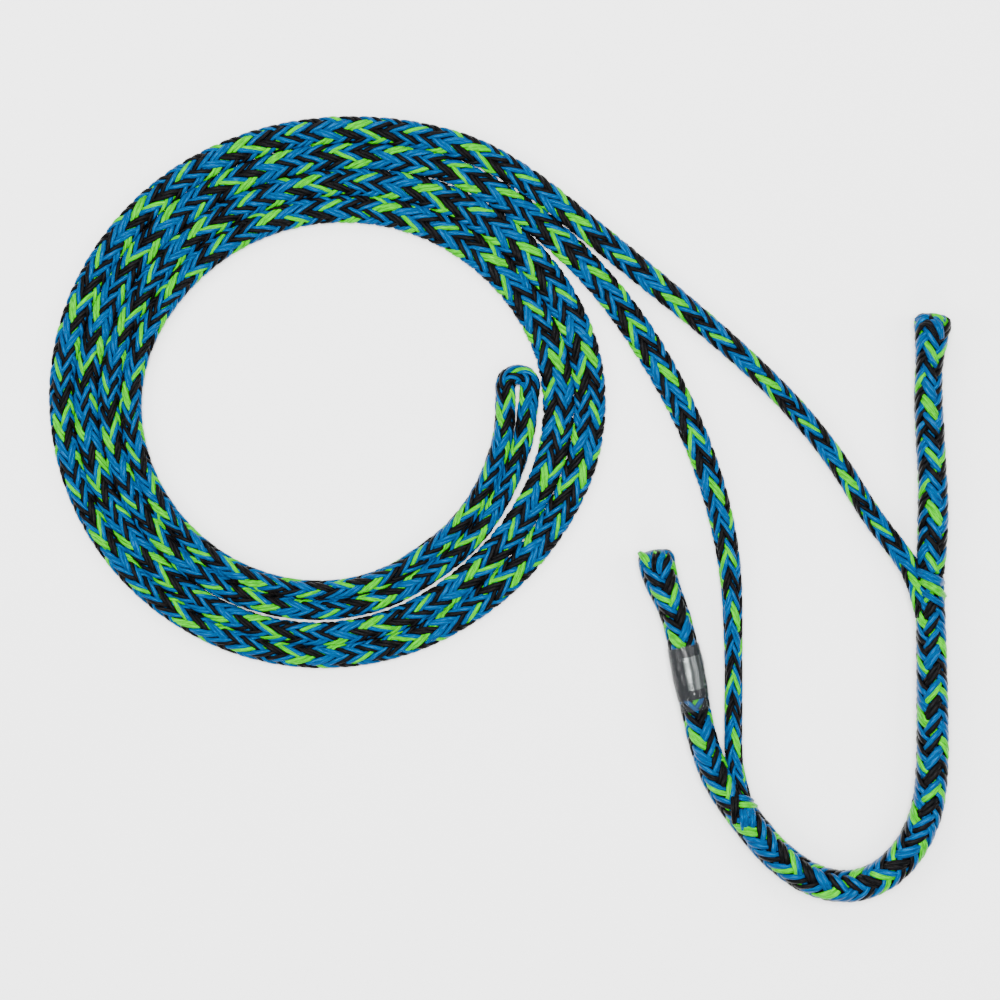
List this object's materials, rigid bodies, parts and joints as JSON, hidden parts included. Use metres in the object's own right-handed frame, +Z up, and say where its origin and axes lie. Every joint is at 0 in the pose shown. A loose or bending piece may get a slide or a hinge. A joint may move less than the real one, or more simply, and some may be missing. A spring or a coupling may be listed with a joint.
{
  "type": "tow rope handle",
  "caption": "Adjustable soft tow handle of hollow braided rope: a thick U grip over a sliding line, two legs in a flat coil ending in a folded loop, and two turned-back tails.",
  "frame": {"origin": "on the floor, under the middle of the laid-out object's outline", "axes": "+X along the length, from the coil towards the grip; +Y from the grip's bend towards the free end of the stopper tail; +Z up"},
  "size_m": [0.5226, 0.4558, 0.0204],
  "materials": {
    "rope_braid": "glossy braided multifilament in blue, black and lime green",
    "buried_rope": "the same rope, packed tight inside a tail",
    "black_band": "smooth black tape",
    "silver_label": "silver-grey film, blank",
    "clear_shrink": "clear heat-shrunk tube, glossy and slightly wrinkled"
  },
  "bodies": {
    "rope_handle": {"grip_braid": "rope_braid", "running_line_bend": "rope_braid", "near_leg": "rope_braid", "far_leg": "rope_braid", "rope_coil": "rope_braid", "end_loop": "rope_braid", "label_tail_braid": "rope_braid", "label_tail_core": "buried_rope", "label_band": "black_band", "label": "silver_label", "clear_sleeve": "clear_shrink"},
    "running_tail": {"stopper_tail_braid": "rope_braid", "stopper_tail_core": "buried_rope", "running_line_straight": "rope_braid"}
  },
  "joints": [
    {"name": "tail_slide", "type": "slide", "parent": "rope_handle", "child": "running_tail", "axis": [0, 1, 0], "range_m": [0, 0.08]}
  ]
}
